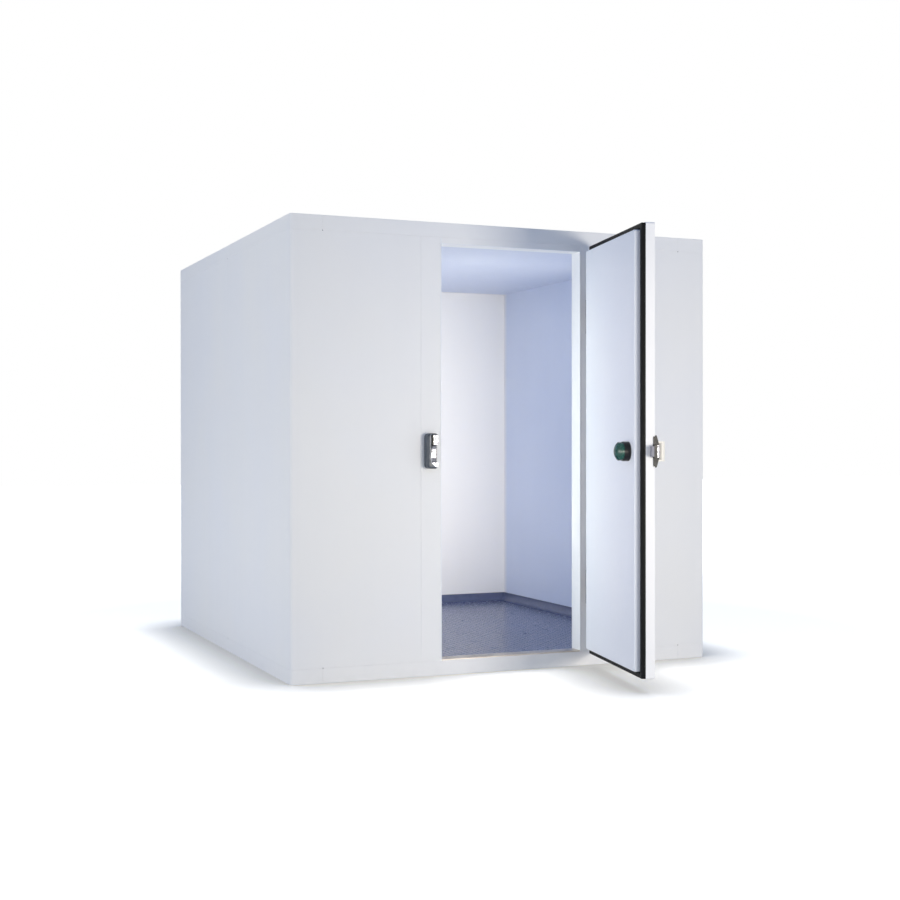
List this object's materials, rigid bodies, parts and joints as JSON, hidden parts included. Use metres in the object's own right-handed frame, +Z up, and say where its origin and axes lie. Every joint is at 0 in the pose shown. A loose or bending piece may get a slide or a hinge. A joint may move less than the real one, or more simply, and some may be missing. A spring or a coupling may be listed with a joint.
{
  "type": "walk-in cold room",
  "caption": "Walk-in cold room of white insulated panels with a hinged overlap door, outside lever lock, inside push release, coved floor and aluminium threshold.",
  "frame": {"origin": "centre of the room's footprint, on the ground under the floor panels", "axes": "+X to the right as one faces the doorway, +Y from the front wall to the rear wall, +Z up"},
  "size_m": [2.21, 3.2052, 2.15],
  "materials": {
    "panel": "satin white polyester paint on steel skin",
    "deck": "satin white polyester paint on steel skin",
    "lining": "white extruded lining",
    "threshold": "brushed, warm toned",
    "floor_finish": "slate blue, studded non-slip",
    "cove": "slate grey, satin",
    "door_skin": "satin white",
    "black_plastic": "black, satin",
    "gasket": "black, soft",
    "hinge_metal": "grey, satin",
    "strike_plastic": "blue grey, satin",
    "keeper_metal": "plated, satin",
    "lever_plastic": "off white",
    "release_green": "dark green"
  },
  "bodies": {
    "room": {"ceiling_panel_front": "deck", "ceiling_panel_rear": "deck", "ceiling_strip_left": "deck", "ceiling_strip_right": "deck", "cove_front_left": "cove", "cove_front_right": "cove", "cove_left": "cove", "cove_rear": "cove", "cove_right": "cove", "doorway_head": "panel", "doorway_post_left": "panel", "doorway_post_right": "panel", "floor_covering": "floor_finish", "floor_panel_front": "deck", "floor_panel_rear": "deck", "floor_strip_left": "deck", "floor_strip_right": "deck", "front_wall_left": "panel", "front_wall_right": "panel", "hinge_lower_frame_half": "hinge_metal", "hinge_upper_frame_half": "hinge_metal", "left_wall_front": "panel", "left_wall_rear": "panel", "lining_head": "lining", "lining_left": "lining", "lining_right": "lining", "rear_wall_left": "panel", "rear_wall_right": "panel", "right_wall_front": "panel", "right_wall_rear": "panel", "strike_case": "strike_plastic", "strike_keeper": "keeper_metal", "threshold": "threshold"},
    "door": {"door_leaf": "door_skin", "door_plug": "door_skin", "door_rim": "black_plastic", "door_gasket": "gasket", "hinge_lower_leaf_half": "hinge_metal", "hinge_upper_leaf_half": "hinge_metal", "lock_cover": "black_plastic", "latch": "keeper_metal", "lever_bracket": "lever_plastic", "release_collar": "black_plastic"},
    "handle": {"lever": "lever_plastic"},
    "release": {"release_knob": "release_green"}
  },
  "joints": [
    {"name": "door_hinge", "type": "hinge", "parent": "room", "child": "door", "pos_m": [0.4405, -1.2, 1.06], "axis": [0, 0, 1], "range_deg": [-78.5, 41.5]},
    {"name": "lever_pivot", "type": "hinge", "parent": "door", "child": "handle", "pos_m": [0.3461, -1.98749, 1.066], "axis": [0, 0, -1], "range_deg": [0, 25], "stiffness_Nm_per_rad": 2},
    {"name": "release_push", "type": "slide", "parent": "door", "child": "release", "axis": [0.9799, -0.1994, 0], "range_m": [0, 0.012], "stiffness_N_per_m": 400}
  ]
}
